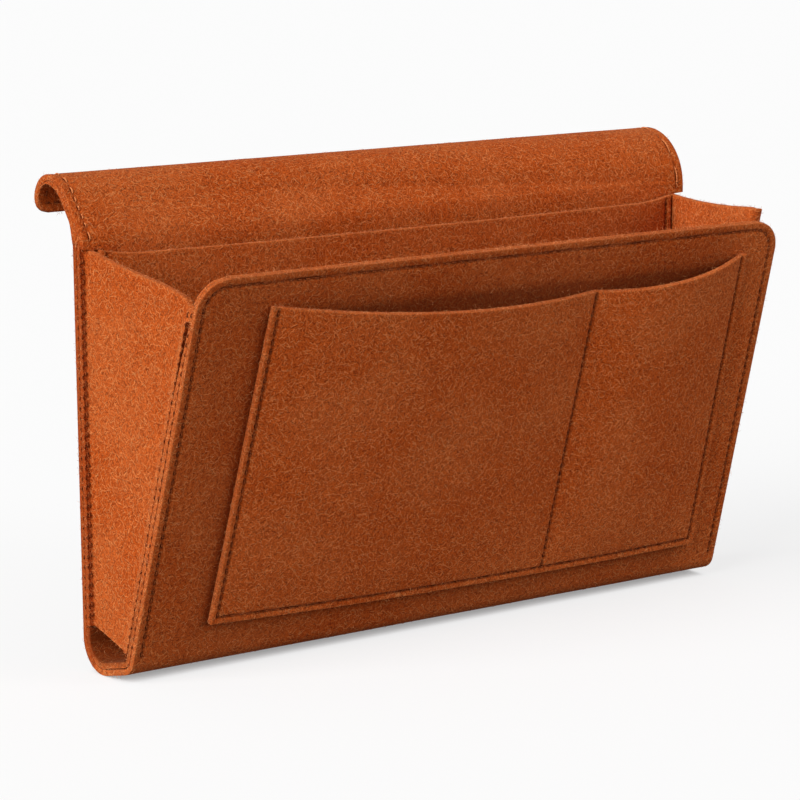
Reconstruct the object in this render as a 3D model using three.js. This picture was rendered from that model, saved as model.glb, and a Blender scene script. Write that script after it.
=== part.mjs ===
// Bedside caddy in wool felt. One long sheet is folded into a U for the front, the base and the back.
// A second layer lines the front and the base, another lines the back and runs on as the underside of
// a hook flap, and a third sheet tops the hook. Two gussets close the ends, a wide pocket lies on the
// back wall, and a pocket with two bulging compartments is sewn on the front.
// Millimetres, +Z up. The origin is under the middle of the flat of the base. The front faces -Y.
import * as THREE from 'three';

const { clamp, degToRad, lerp, smoothstep } = THREE.MathUtils;

// Felt
const felt = 2.6;
const layerGap = 0.3;
const sewingMargin = 3;

// Body, measured over its outer layer
const backHeight = 183;
const backWidth = 330;
const baseWidth = 327;
const frontHeight = 175.6;
const frontWidth = 316;
const frontLean = degToRad(16);
const frontCornerRadius = 14;
const baseFlat = 15.6;
const backFoldRadius = 14;
const frontFoldRadius = 8;
const liningJointHeight = 18.5;
const liningJointGap = 1;

// Hook flap, measured on its underside: it leans back on the left and stands fuller on the right
const neckBelowRim = 1.9;
const hookLeftLean = degToRad(37);
const hookLeftNeckRadius = 7;
const hookLeftRise = 18.9;
const hookLeftRadius = 10.3;
const hookRightLean = degToRad(3);
const hookRightNeckRadius = 86;
const hookRightRise = 0.1;
const hookRightRadius = 19.6;
const hookRightOverhang = 3;
const hookRearRadius = 6.7;
const hookRearTurn = degToRad(102);
const hookTail = 3;
const hookCornerRadius = 6;
const tongueLength = 26;
const tongueCornerRadius = 10;
const hookShoulder = 0.6;

// Gussets
const flangeReach = 2.2;
const gussetBendRadius = 2;
const gussetRearTop = 180.4;
const gussetLeftFrontTop = 170;
const gussetRightFrontTop = 182;
const gussetRightTopInset = 7;
const gussetTopSag = 1.6;
const gussetCornerDrop = 5;
const gussetRearBottom = 19.5;
const gussetFrontBottom = 13;

// Front pocket: places across are from the middle, heights are up the leaning front face
const pocketTopLeft = -122.3;
const pocketTopRight = 138.5;
const pocketBottomLeft = -127.8;
const pocketBottomRight = 145;
const pocketSeam = 52;
const pocketBottom = 17.4;
const pocketBottomSag = 1.5;
const pocketCornerHeight = 163.1;
const pocketRimDip = 9.3;
const pocketLeftBulge = 10;
const pocketRightBulge = 9.5;

// Inner pocket on the back wall
const innerPocketBottom = 27;
const innerPocketHeight = 153.5;
const innerPocketRimDip = 2.2;
const innerPocketBulge = 7;
const innerPocketStepLength = 14;
const innerSideGap = 2;

// Shares and counts of the modelled surfaces
const bulgeRiseShare = 0.6;
const leftRimShare = 1.8;
const rightRimShare = 1.2;
const foldSteps = 8;
const hookSteps = 8;
const hookColumns = 8;
const cornerSteps = 8;
const leftColumns = 14;
const rightColumns = 10;
const innerColumns = 16;
const pocketRows = 12;
const bendSteps = 4;
const webSteps = 8;
const gussetRows = 6;

// Worked out
const layerPitch = felt + layerGap;
const halfTurn = Math.PI;
const quarterTurn = halfTurn / 2;
const backFace = baseFlat / 2 + backFoldRadius;
const frontTurn = quarterTurn - frontLean;
const frontFoldTop = frontFoldRadius * (1 - Math.cos(frontTurn));
const frontFoldFace = -baseFlat / 2 - frontFoldRadius * Math.sin(frontTurn);
const frontSlope = (frontHeight - frontFoldTop) / Math.cos(frontLean);
const feltColour = new THREE.Color(0.62, 0.24, 0.1);

// A path of straight lines and round bends in the YZ plane. Left of the path is the inside of the
// caddy and the top of the hook, and a positive turn is to the left.
class SheetPath {
  constructor(y, z, heading) {
    this.pieces = [];
    this.length = 0;
    this.end = { y, z, heading };
  }

  line(length) {
    return this.add(length, 0);
  }

  bend(radius, turn) {
    return this.add(radius * Math.abs(turn), turn);
  }

  add(length, turn) {
    this.pieces.push({ start: this.length, length, turn, ...this.end });
    this.length += length;
    this.end = this.at(this.length);
    return this;
  }

  // The straight or bend that a distance falls in
  pieceAt(distance) {
    return this.pieces.findLast((each) => distance >= each.start) ?? this.pieces[0];
  }

  // The distance that matches a distance along another path, where both have the same pieces in turn
  matched(distance, other) {
    const piece = other.pieceAt(distance);
    const twin = this.pieces[other.pieces.indexOf(piece)];
    return twin.start + ((distance - piece.start) / piece.length) * twin.length;
  }

  // The place at a distance along the path
  at(distance) {
    const piece = this.pieceAt(distance);
    const along = Math.min(distance - piece.start, piece.length);
    if (piece.turn === 0) {
      const y = piece.y + along * Math.cos(piece.heading);
      const z = piece.z + along * Math.sin(piece.heading);
      return { y, z, heading: piece.heading };
    }
    const curvature = piece.turn / piece.length;
    const heading = piece.heading + along * curvature;
    const y = piece.y + (Math.sin(heading) - Math.sin(piece.heading)) / curvature;
    const z = piece.z - (Math.cos(heading) - Math.cos(piece.heading)) / curvature;
    return { y, z, heading };
  }

  // The place at a distance along the path and an offset to its left
  offset(distance, left) {
    const { y, z, heading } = this.at(distance);
    return { y: y - left * Math.sin(heading), z: z + left * Math.cos(heading) };
  }

  // Even distances over the piece with this number
  steps(number, count) {
    const { start, length } = this.pieces[number];
    return spread(start, start + length, count);
  }
}

// count + 1 even values
function spread(from, to, count) {
  return Array.from({ length: count + 1 }, (_, i) => lerp(from, to, i / count));
}

// Values in order, with near copies left out
function merged(values) {
  const sorted = [...values].sort((a, b) => a - b);
  return sorted.filter((value, i) => i === 0 || value - sorted[i - 1] > layerGap / 10);
}

// The outer face of the second layer, from the front rim to the tail of the hook
function layerPath(hookLean, neckRadius, hookRise, hookRadius) {
  const startY = frontFoldFace - frontSlope * Math.sin(frontLean) + layerPitch * Math.cos(frontLean);
  return new SheetPath(startY, frontHeight + layerPitch * Math.sin(frontLean), -frontTurn)
    .line(frontSlope)
    .bend(frontFoldRadius - layerPitch, frontTurn)
    .line(baseFlat)
    .bend(backFoldRadius - layerPitch, quarterTurn)
    .line(backHeight - neckBelowRim - backFoldRadius)
    .bend(neckRadius, -hookLean)
    .line(hookRise)
    .bend(hookRadius, hookLean - quarterTurn)
    .bend(hookRearRadius, -hookRearTurn)
    .line(hookTail);
}

// The path at the caddy's left end, and the one at its right end, which differs only on the hook
const bodyPath = layerPath(hookLeftLean, hookLeftNeckRadius, hookLeftRise, hookLeftRadius);
const rightPath = layerPath(hookRightLean, hookRightNeckRadius, hookRightRise, hookRightRadius);
const backPiece = bodyPath.pieces[4];
const backRimDistance = backPiece.start + backHeight - backFoldRadius;
const hookEndDistance = bodyPath.length;

// Distance along the body's path for a height on the back wall
function backDistance(height) {
  return backPiece.start + height - backFoldRadius;
}

// Half widths of the body at a height, on its back wall and on its front
function backHalfWidth(height) {
  const share = Math.min(height / backHeight, 1);
  return lerp(baseWidth, backWidth, share) / 2;
}

function frontHalfWidth(height) {
  return lerp(baseWidth, frontWidth, height / frontHeight) / 2;
}

// Half width of the body's layers along the path
function bodyHalfWidth(distance) {
  const { z } = bodyPath.at(distance);
  const onFront = distance < bodyPath.pieces[2].start;
  return onFront ? frontHalfWidth(z) : backHalfWidth(z);
}

// What a rounded corner takes off the half width, at a distance from the edge it rounds
function cornerCut(fromEdge, radius) {
  const inside = Math.max(radius - fromEdge, 0);
  return radius - Math.sqrt(radius ** 2 - inside ** 2);
}

// Distances from an edge at which a rounded corner is stepped
function cornerDistances(radius) {
  return spread(0, quarterTurn, cornerSteps).map((angle) => radius * (1 - Math.cos(angle)));
}

// A closed solid between two grids of points: faces[side][row][column]
function closedSheet(name, faces) {
  const [rows, columns] = [faces[0].length, faces[0][0].length];
  const positions = faces.flat(3);
  const indices = [];
  const index = (side, row, column) => (side * rows + row) * columns + column;
  const quad = (a, b, c, d) => indices.push(a, b, c, a, c, d);
  for (let row = 0; row < rows - 1; row += 1) {
    for (let column = 0; column < columns - 1; column += 1) {
      const [next, right] = [row + 1, column + 1];
      quad(index(0, row, column), index(0, row, right), index(0, next, right), index(0, next, column));
      quad(index(1, row, column), index(1, next, column), index(1, next, right), index(1, row, right));
    }
    for (const column of [0, columns - 1]) {
      const corners = [
        index(0, row, column),
        index(0, row + 1, column),
        index(1, row + 1, column),
        index(1, row, column),
      ];
      quad(...(column === 0 ? corners : corners.reverse()));
    }
  }
  for (let column = 0; column < columns - 1; column += 1) {
    for (const row of [0, rows - 1]) {
      const corners = [
        index(0, row, column),
        index(1, row, column),
        index(1, row, column + 1),
        index(0, row, column + 1),
      ];
      quad(...(row === 0 ? corners : corners.reverse()));
    }
  }
  if (signedVolume(positions, indices) < 0) indices.reverse();
  const geometry = new THREE.BufferGeometry();
  geometry.setAttribute('position', new THREE.Float32BufferAttribute(positions, 3));
  geometry.setIndex(indices);
  const solid = new THREE.Mesh(geometry, feltMaterial());
  solid.name = name;
  return solid;
}

function signedVolume(positions, indices) {
  const corner = (i) => new THREE.Vector3().fromArray(positions, indices[i] * 3);
  let sum = 0;
  for (let i = 0; i < indices.length; i += 3) {
    sum += corner(i).dot(corner(i + 1).cross(corner(i + 2)));
  }
  return sum;
}

function feltMaterial() {
  return new THREE.MeshStandardMaterial({
    color: feltColour,
    roughness: 0.95,
    metalness: 0,
    flatShading: true,
  });
}

// A sheet that follows the body's path between two offsets, straight from its left end to its right
function pathSheet(name, distances, offsets, halfWidthAt, columns = 1) {
  const faces = offsets.map((left) =>
    distances.map((distance) => {
      const [from, to] = [bodyPath, rightPath].map((path) => path.offset(path.matched(distance, bodyPath), left));
      const half = halfWidthAt(distance);
      const overhang = distance > backRimDistance ? hookRightOverhang : 0;
      return spread(0, 1, columns).map((share) => [
        lerp(-half, half + overhang, share),
        lerp(from.y, to.y, share),
        lerp(from.z, to.z, share),
      ]);
    }),
  );
  return closedSheet(name, faces);
}

// The rows that the two layers of the body share: the front's round corners and both folds
function bodyRows() {
  return [
    ...cornerDistances(frontCornerRadius),
    ...bodyPath.steps(1, foldSteps),
    ...bodyPath.steps(3, foldSteps),
  ];
}

function frontCorner(distance) {
  return bodyHalfWidth(distance) - cornerCut(distance, frontCornerRadius);
}

function outerShell() {
  const neckStart = bodyPath.pieces[5].start;
  const distances = merged([...bodyRows(), neckStart, backRimDistance]);
  return pathSheet('outer_shell', distances, [-layerPitch, -layerGap], frontCorner);
}

// Half width of the hook's sheets, with round corners at the tail
function hookHalfWidth(distance) {
  return bodyHalfWidth(distance) - cornerCut(hookEndDistance - distance, hookCornerRadius);
}

function hookRows() {
  return [
    ...bodyPath.steps(5, foldSteps / 2),
    ...bodyPath.steps(7, hookSteps),
    ...bodyPath.steps(8, hookSteps),
    ...cornerDistances(hookCornerRadius).map((fromEdge) => hookEndDistance - fromEdge),
  ];
}

// The second layer of the front and the base, which ends low on the back wall
function frontLining() {
  const distances = merged([...bodyRows(), backDistance(liningJointHeight)]);
  return pathSheet('front_lining', distances, [0, felt], frontCorner);
}

// Half width between the gussets on the back wall, where the back lining and the inner pocket lie
function backInsideHalfWidth(height) {
  return backHalfWidth(height) - flangeReach - felt - innerSideGap;
}

// A sheet of the hook: full width above the back's rim, narrower below it down to its lower edge
function hookSheet(name, lowerEdge, offsets) {
  const shoulder = backRimDistance + hookShoulder;
  const corners = cornerDistances(tongueCornerRadius).map((fromEdge) => lowerEdge + fromEdge);
  const distances = merged([...corners, backRimDistance, shoulder, ...hookRows()]);
  const halfWidthAt = (distance) => {
    if (distance > backRimDistance) return hookHalfWidth(distance);
    const { z } = bodyPath.at(distance);
    return backInsideHalfWidth(z) - cornerCut(distance - lowerEdge, tongueCornerRadius);
  };
  const offShoulder = (distance) => distance <= backRimDistance || distance >= shoulder;
  return pathSheet(name, distances.filter(offShoulder), offsets, halfWidthAt, hookColumns);
}

// The back lining, which is the underside of the hook above the back's rim
function backLining() {
  return hookSheet('back_lining', backDistance(liningJointHeight + liningJointGap), [0, felt]);
}

// The top sheet of the hook, which ends in a tongue sewn down inside the back wall
function hookFlap() {
  return hookSheet('hook_flap', backRimDistance - tongueLength, [layerPitch, layerPitch + felt]);
}

// Place on the leaning front face: up the slope from the fold, and outwards from the face
function frontPlace(x, up, out) {
  return [
    x,
    frontFoldFace - up * Math.sin(frontLean) - out * Math.cos(frontLean),
    frontFoldTop + up * Math.cos(frontLean) - out * Math.sin(frontLean),
  ];
}

// Centre line of a gusset at a height, seen from above, from the rear flange's edge to the front's.
// The inset draws its front end inwards near the top.
function gussetPlan(height, topInset) {
  const setBack = flangeReach + felt / 2;
  const rear = { x: backHalfWidth(height), y: backFace - layerPitch - felt / 2 };
  const slopeUp = (height - frontFoldTop) / Math.cos(frontLean);
  const frontFace = frontFoldFace - slopeUp * Math.sin(frontLean);
  const inwards = (2 * layerPitch + felt / 2) / Math.cos(frontLean);
  const inset = topInset * smoothstep(height, frontHeight - 2 * frontCornerRadius, frontHeight);
  const front = { x: frontHalfWidth(height) - inset, y: frontFace + inwards };
  const radius = gussetBendRadius;
  const points = [{ ...rear, normal: quarterTurn }];
  for (const angle of spread(quarterTurn, halfTurn, bendSteps)) {
    const x = rear.x - setBack + radius + radius * Math.cos(angle);
    points.push({ x, y: rear.y - radius + radius * Math.sin(angle), normal: angle });
  }
  const web = spread(0, 1, webSteps).slice(1, -1);
  for (const share of web) {
    const x = lerp(rear.x, front.x, share) - setBack;
    points.push({ x, y: lerp(rear.y - radius, front.y + radius, share), normal: halfTurn });
  }
  for (const angle of spread(halfTurn, halfTurn + quarterTurn, bendSteps)) {
    const x = front.x - setBack + radius + radius * Math.cos(angle);
    points.push({ x, y: front.y + radius + radius * Math.sin(angle), normal: angle });
  }
  points.push({ ...front, normal: halfTurn + quarterTurn });
  return points;
}

// Share of the way along a gusset's plan, from the rear bend to the front one, at each of its points
function gussetShares() {
  const plan = gussetPlan(gussetFrontBottom, 0);
  const [rear, front] = [plan[bendSteps + 1].y, plan[plan.length - bendSteps - 2].y];
  return plan.map(({ y }) => clamp((y - rear) / (front - rear), 0, 1));
}

function gusset(name, side, frontTop, topInset) {
  const shares = gussetShares();
  const flangeEnd = shares.length - 1;
  const top = shares.map((share, i) => {
    const sag = gussetTopSag * 4 * share * (1 - share);
    const intoCorner = Math.max(i - flangeEnd + bendSteps + 1, 0) / (bendSteps + 1);
    const drop = gussetCornerDrop * (1 - Math.sqrt(1 - intoCorner ** 2));
    return lerp(gussetRearTop, frontTop, share) - sag - drop;
  });
  const bottom = shares.map((share) => lerp(gussetRearBottom, gussetFrontBottom, share));
  const faces = [felt / 2, -felt / 2].map((outwards) =>
    spread(0, 1, gussetRows).map((share) =>
      top.map((topHeight, i) => {
        const height = lerp(bottom[i], topHeight, share);
        const { x, y, normal } = gussetPlan(height, topInset)[i];
        return [side * (x + outwards * Math.cos(normal)), y + outwards * Math.sin(normal), height];
      }),
    ),
  );
  return closedSheet(name, faces);
}

// How far a hollowed rim dips, at a share of the way from its corner to its lowest point
function rimDip(dip, share, power) {
  return dip * (1 - (1 - share) ** power);
}

// How far a pocket stands out: nothing at its sewn sides and bottom, most in the middle of its mouth
function bulge(depth, across, up) {
  return depth * 4 * across * (1 - across) * Math.max(up, 0) ** bulgeRiseShare;
}

// The front pocket: one sheet, sewn down at its sides, its bottom and one seam up its face
function frontPocket() {
  const sides = (up) => {
    const share = (up - pocketBottom) / (pocketCornerHeight - pocketBottom);
    const left = lerp(pocketBottomLeft, pocketTopLeft, share);
    const right = lerp(pocketBottomRight, pocketTopRight, share);
    return { left, right };
  };
  const columns = [
    { from: 'edge', share: 0, depth: 0 },
    ...spread(0, 1, leftColumns).map((share) => ({ from: 'left', share, depth: pocketLeftBulge })),
    ...spread(0, 1, rightColumns)
      .slice(1)
      .map((share) => ({ from: 'right', share, depth: pocketRightBulge })),
    { from: 'edge', share: 1, depth: 0 },
  ];
  const across = ({ from, share }, { left, right }) => {
    if (from === 'left') return lerp(left + sewingMargin, pocketSeam, share);
    if (from === 'right') return lerp(pocketSeam, right - sewingMargin, share);
    return lerp(left, right, share);
  };
  const place = (column, row, out) => {
    const corner = sides(pocketCornerHeight);
    const x = across(column, corner);
    const [end, power] = x < pocketSeam ? [corner.left, leftRimShare] : [corner.right, rightRimShare];
    const rim = pocketCornerHeight - rimDip(pocketRimDip, (x - end) / (pocketSeam - end), power);
    const acrossShare = (x - corner.left) / (corner.right - corner.left);
    const bottom = pocketBottom - pocketBottomSag * 4 * acrossShare * (1 - acrossShare);
    const up = row === 0 ? bottom : lerp(bottom + sewingMargin, rim, (row - 1) / pocketRows);
    const standOff = row === 0 ? 0 : bulge(column.depth, column.share, (row - 1) / pocketRows);
    return frontPlace(across(column, sides(up)), up, layerGap + standOff + out);
  };
  const rows = Array.from({ length: pocketRows + 2 }, (_, row) => row);
  const faces = [0, felt].map((out) => rows.map((row) => columns.map((column) => place(column, row, out))));
  return closedSheet('front_pocket', faces);
}

// The inner pocket: a sheet on the back wall, stepped forward over the flap's tongue
function innerPocket() {
  const stepTop = backHeight - tongueLength - layerPitch;
  const columns = [
    { share: 0, edge: -1 },
    ...spread(0, 1, innerColumns).map((share) => ({ share, edge: 0 })),
    { share: 1, edge: 1 },
  ];
  const rimHeight = innerPocketBottom + innerPocketHeight;
  const sewnTop = innerPocketBottom + sewingMargin;
  const place = (column, height, share, out) => {
    const half = backInsideHalfWidth(height);
    const sewnHalf = half - sewingMargin;
    const x = column.edge === 0 ? lerp(-sewnHalf, sewnHalf, column.share) : column.edge * half;
    const overTongue = smoothstep(height, stepTop - innerPocketStepLength, stepTop);
    const lift = layerPitch * (1 + overTongue) + bulge(innerPocketBulge, column.share, share);
    const { y, z } = bodyPath.offset(backDistance(height), lift + out);
    return [x, y, z];
  };
  const steps = spread(0, 1, pocketRows);
  const faces = [0, felt].map((out) => [
    columns.map((column) => place(column, innerPocketBottom, 0, out)),
    ...steps.map((share) =>
      columns.map((column) => {
        const rim = rimHeight - rimDip(innerPocketRimDip, 1 - Math.abs(2 * column.share - 1), 2);
        return place(column, lerp(sewnTop, rim, share), share, out);
      }),
    ),
  ]);
  return closedSheet('inner_pocket', faces);
}

const caddy = new THREE.Group();
caddy.name = 'bedside_caddy';
caddy.add(outerShell());
caddy.add(frontLining());
caddy.add(backLining());
caddy.add(hookFlap());
caddy.add(gusset('left_gusset', -1, gussetLeftFrontTop, 0));
caddy.add(gusset('right_gusset', 1, gussetRightFrontTop, gussetRightTopInset));
caddy.add(innerPocket());
caddy.add(frontPocket());

export default caddy;
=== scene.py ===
# Looks of a bedside caddy in wool felt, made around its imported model. Each felt sheet is a fine mesh
# with rounded raw edges, pressed seams and stitch holes. Threads, loose fibres, a camera at the
# photograph's angle, soft lights and a pale floor complete it. Lengths are in millimetres until a
# mesh is made.
import math

import bpy
import numpy as np
from mathutils import Matrix, Vector


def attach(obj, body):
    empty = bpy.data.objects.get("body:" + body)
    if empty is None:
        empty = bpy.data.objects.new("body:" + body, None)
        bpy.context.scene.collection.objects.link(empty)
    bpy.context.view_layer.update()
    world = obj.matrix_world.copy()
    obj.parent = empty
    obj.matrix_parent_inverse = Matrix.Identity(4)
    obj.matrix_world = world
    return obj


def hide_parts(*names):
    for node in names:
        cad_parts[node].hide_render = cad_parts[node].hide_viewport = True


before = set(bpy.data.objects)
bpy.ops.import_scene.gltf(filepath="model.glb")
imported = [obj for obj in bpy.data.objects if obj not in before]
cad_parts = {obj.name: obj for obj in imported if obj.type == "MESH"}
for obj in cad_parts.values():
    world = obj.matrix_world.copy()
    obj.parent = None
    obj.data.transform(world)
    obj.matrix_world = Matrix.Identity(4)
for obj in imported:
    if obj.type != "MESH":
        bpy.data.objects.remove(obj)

MM = 0.001
QUARTER_TURN = math.pi / 2
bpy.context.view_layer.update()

# Felt sheets
FELT = 2.6
LAYER_GAP = 0.3
LAYER_PITCH = FELT + LAYER_GAP
SEWING_MARGIN = 3.0
EDGE_ROUND = 0.85

# Body
BACK_HEIGHT = 183.0
BACK_WIDTH = 330.0
BASE_WIDTH = 327.0
FRONT_HEIGHT = 175.6
FRONT_WIDTH = 316.0
FRONT_LEAN = math.radians(16)
FRONT_CORNER_RADIUS = 14.0
BASE_FLAT = 15.6
BACK_FOLD_RADIUS = 14.0
FRONT_FOLD_RADIUS = 8.0
BASE_SLOPE = math.radians(13)
REAR_FOLD_RADIUS = 14.5
LINING_JOINT_HEIGHT = 18.5
LINING_JOINT_GAP = 1.0
FRONT_LINE = 172.96  # the path's straight parts in the front and in the base, fitted to its ends
BASE_LINE = 15.04
RIM_PRESS_REACH = 10.0, 60.0  # from the front rim: where its layers are fully pressed and not at all
OUTER_PRESS = 0.28
LINING_PRESS = 0.55
LINING_SHIFT = 0.9
# The raw edges of the layers at the back get painted shade
BACK_LAYERS = 9.0  # depth of the layers at the back, whose raw edges are darker
# Painted shade on the lining low in the compartment
LOW_INSIDE = 22.0, 60.0  # heights between which the shade low in the compartment fades
LOW_INSIDE_PAINTED_SHADE = 0.9

# Hook: its lean, neck radius, rise and front radius at the left end and at the right end
NECK_BELOW_RIM = 1.9
HOOK_LEFT = (math.radians(37), 7.0, 18.9, 10.3)
HOOK_RIGHT = (math.radians(3), 86.0, 0.1, 19.6)
HOOK_RIGHT_OVERHANG = 3.0
HOOK_REAR_RADIUS = 6.7
HOOK_REAR_TURN = math.radians(102)
HOOK_TAIL = 3.0
HOOK_CORNER_RADIUS = 6.0
HOOK_SHOULDER = (2.7, 2.1)  # below the rim: the tongue's last row and the hook's first
TONGUE_LENGTH = 26.0
TONGUE_CORNER_RADIUS = 10.0
TAIL_THINNING = 0.62
TAIL_THINNING_SHARES = 0.55, 0.45  # of the front bend, where it starts, and of the rear bend
HOOK_END_PRESS = 0.18
HOOK_END_REACH = 5.0, 25.0
OVER_RIM_LENGTH = 11.0
OVER_RIM_FADE = 0.05, 0.7  # shares of the hook's width

# Gussets
FLANGE_REACH = 2.2
GUSSET_BEND_RADIUS = 2.0
FRONT_BEND_DEPTH = {"left": 5.0, "right": 2.0}
CORNER_REACH = {"left": 9.0, "right": 3.0}
GUSSET_REAR_TOP = 180.8
GUSSET_FRONT_TOP = {"left": 170.0, "right": 182.0}
GUSSET_TOP_INSET = {"left": 0.0, "right": 7.0}
GUSSET_TOP_SAG = 1.6
GUSSET_CORNER_DROP = {"left": 12.0, "right": 0.8}
GUSSET_REAR_BOTTOM = 19.5
GUSSET_FRONT_BOTTOM = 13.0
FLANGE_POINTS, BEND_POINTS, WEB_POINTS = 3, 8, 38

# Front pocket
POCKET_TOP_LEFT = -122.3
POCKET_TOP_RIGHT = 138.5
POCKET_BOTTOM_LEFT = -128.8
POCKET_BOTTOM_RIGHT = 144.4
POCKET_SEAM = 52.0
POCKET_BOTTOM = 17.4
POCKET_BOTTOM_SAG = 2.2
POCKET_BOTTOM_SLOPE = 0.8, -2.1  # of its lower edge, at the left and the right corner
DIVIDER_LEAN = 1.8  # of the seam's lower end to the left
POCKET_CORNER_HEIGHT = 163.1
POCKET_RIM_DIP = 9.9
POCKET_LEFT_BULGE = 10.0
POCKET_RIGHT_BULGE = 9.5
LEFT_RIM_POWER = 1.8
RIGHT_RIM_POWER = 1.2
BULGE_RISE_POWER = 0.6
# Painted shade on the front panel beside the front pocket, strongest near its left and lower edges
POCKET_SHADE = (0.6, 3.0), (0.4, 60.0)  # strength and reach of the shade beside it, in two parts
POCKET_SHADE_ABOVE = 6.0
POCKET_SHADE_RIGHT = -12, 2

# Inner pocket
INNER_POCKET_BOTTOM = 27.0
INNER_POCKET_HEIGHT = 153.5
INNER_POCKET_RIM_DIP = 2.4
INNER_POCKET_DIP_REACH = 22.0
INNER_POCKET_BULGE = 7.0
INNER_POCKET_STEP_LENGTH = 14.0
INNER_SIDE_GAP = 2.0

# Seams
SEAM_INSET = 3.7
STITCH_PITCH = 4.2
STITCH_LENGTH = 2.5
STITCH_POINTS = 9
STITCH_DRIFT = 0.06
THREAD_RADIUS = 0.33
THREAD_SIDES = 8
GROOVE_DEPTH = 0.5
GROOVE_WIDTH = 0.85
HOLE_DEPTH = 1.0
HOLE_LENGTH = 1.25
HOLE_WIDTH = 0.55
# Painted shade in a seam's groove and its stitch holes
GROOVE_PAINTED_SHADE = 0.45
HOLE_PAINTED_SHADE = 0.75

# Worked out
BACK_FACE = BASE_FLAT / 2 + BACK_FOLD_RADIUS
FRONT_TURN = QUARTER_TURN - FRONT_LEAN
FRONT_FOLD_TOP = FRONT_FOLD_RADIUS * (1 - math.cos(FRONT_TURN))
FRONT_FOLD_FACE = -BASE_FLAT / 2 - FRONT_FOLD_RADIUS * math.sin(FRONT_TURN)
FRONT_SLOPE = (FRONT_HEIGHT - FRONT_FOLD_TOP) / math.cos(FRONT_LEAN)
POCKET_WIDTH = POCKET_TOP_RIGHT - POCKET_TOP_LEFT
POCKET_HEIGHT = POCKET_CORNER_HEIGHT - POCKET_BOTTOM
POCKET_SEAM_SHARE = (POCKET_SEAM - POCKET_TOP_LEFT) / POCKET_WIDTH


def lerp(a, b, share):
    return a + (b - a) * share


def smoothstep(x, low, high):
    share = np.clip((x - low) / (high - low), 0, 1)
    return share * share * (3 - 2 * share)


class SheetPath:
    """Straight lines and round bends in the YZ plane. Left of the path is the caddy's inside."""

    def __init__(self, y, z, heading):
        self.pieces = []
        self.length = 0.0
        self.end = (y, z, heading)

    def line(self, length):
        return self.add(length, 0.0)

    def bend(self, radius, turn):
        return self.add(radius * abs(turn), turn)

    def add(self, length, turn):
        self.pieces.append((self.length, length, turn, *self.end))
        self.length += length
        self.end = tuple(float(value) for value in self.at(self.length))
        return self

    def number(self, distance):
        starts = np.array([piece[0] for piece in self.pieces])
        return np.maximum(np.searchsorted(starts, distance, side="right") - 1, 0)

    def at(self, distance):
        distance = np.asarray(distance, float)
        columns = np.array(self.pieces)[self.number(distance)]
        start, length, turn, y, z, heading = np.moveaxis(columns, -1, 0)
        along = np.minimum(distance - start, length)
        straight = turn == 0
        curvature = np.where(straight, 1.0, turn / length)
        turned = heading + along * curvature
        dy = np.where(straight, along * np.cos(heading), (np.sin(turned) - np.sin(heading)) / curvature)
        dz = np.where(straight, along * np.sin(heading), (np.cos(heading) - np.cos(turned)) / curvature)
        return y + dy, z + dz, np.where(straight, heading, turned)

    def matched(self, distance, other):
        """The distance that matches one along another path with the same pieces in turn."""
        number = other.number(distance)
        theirs, mine = np.array(other.pieces)[number], np.array(self.pieces)[number]
        return mine[..., 0] + (distance - theirs[..., 0]) / theirs[..., 1] * mine[..., 1]

    def offset(self, distance, left):
        y, z, heading = self.at(distance)
        return y - left * np.sin(heading), z + left * np.cos(heading)


def layer_path(lean, neck, rise, radius):
    """The path between the outer layer and the lining, from the front rim to the hook's tail."""
    start_y = FRONT_FOLD_FACE - FRONT_SLOPE * math.sin(FRONT_LEAN) + LAYER_PITCH * math.cos(FRONT_LEAN)
    path = SheetPath(start_y, FRONT_HEIGHT + LAYER_PITCH * math.sin(FRONT_LEAN), -FRONT_TURN)
    path.line(FRONT_LINE).bend(FRONT_FOLD_RADIUS - LAYER_PITCH, FRONT_TURN - BASE_SLOPE).line(BASE_LINE)
    path.bend(REAR_FOLD_RADIUS - LAYER_PITCH, QUARTER_TURN + BASE_SLOPE)
    path.line(BACK_HEIGHT - NECK_BELOW_RIM - REAR_FOLD_RADIUS).bend(neck, -lean).line(rise)
    return path.bend(radius, lean - QUARTER_TURN).bend(HOOK_REAR_RADIUS, -HOOK_REAR_TURN).line(HOOK_TAIL)


LEFT_PATH = layer_path(*HOOK_LEFT)
RIGHT_PATH = layer_path(*HOOK_RIGHT)
FRONT_FOLD_START = LEFT_PATH.pieces[1][0]
BASE_START = LEFT_PATH.pieces[2][0]
BACK_START = LEFT_PATH.pieces[4][0]
BACK_RIM = BACK_START + BACK_HEIGHT - REAR_FOLD_RADIUS
TONGUE_EDGE = BACK_RIM - TONGUE_LENGTH
HOOK_END = LEFT_PATH.length


def back_distance(height):
    return BACK_START + height - REAR_FOLD_RADIUS


def back_half_width(height):
    return lerp(BASE_WIDTH, BACK_WIDTH, np.minimum(height / BACK_HEIGHT, 1)) / 2


def front_half_width(height):
    return lerp(BASE_WIDTH, FRONT_WIDTH, height / FRONT_HEIGHT) / 2


def body_half_width(distance):
    height = LEFT_PATH.at(distance)[1]
    return np.where(distance < BASE_START, front_half_width(height), back_half_width(height))


def corner_cut(from_edge, radius):
    """How far a round corner lies in from the side, at a distance from the edge."""
    inside = np.clip(radius - from_edge, 0, radius)
    return radius - np.sqrt(radius**2 - inside**2)


def between_paths(distance, across, share, left):
    """A point beside the path, which goes from LEFT_PATH at share 0 to RIGHT_PATH at share 1."""
    y0, z0 = LEFT_PATH.offset(distance, left)
    y1, z1 = RIGHT_PATH.offset(RIGHT_PATH.matched(distance, LEFT_PATH), left)
    return np.stack([across, lerp(y0, y1, share), lerp(z0, z1, share)], -1)


def body_place(distance, across, left):
    """A point of the folded body: distance along the path, x, and how far left of the path."""
    share = np.clip((across / body_half_width(distance) + 1) / 2, 0, 1)
    return between_paths(distance, across, share, left)


# Grids and meshes


def new_object(name, data):
    made = bpy.data.objects.new(name, data)
    bpy.context.scene.collection.objects.link(made)
    return made


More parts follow.
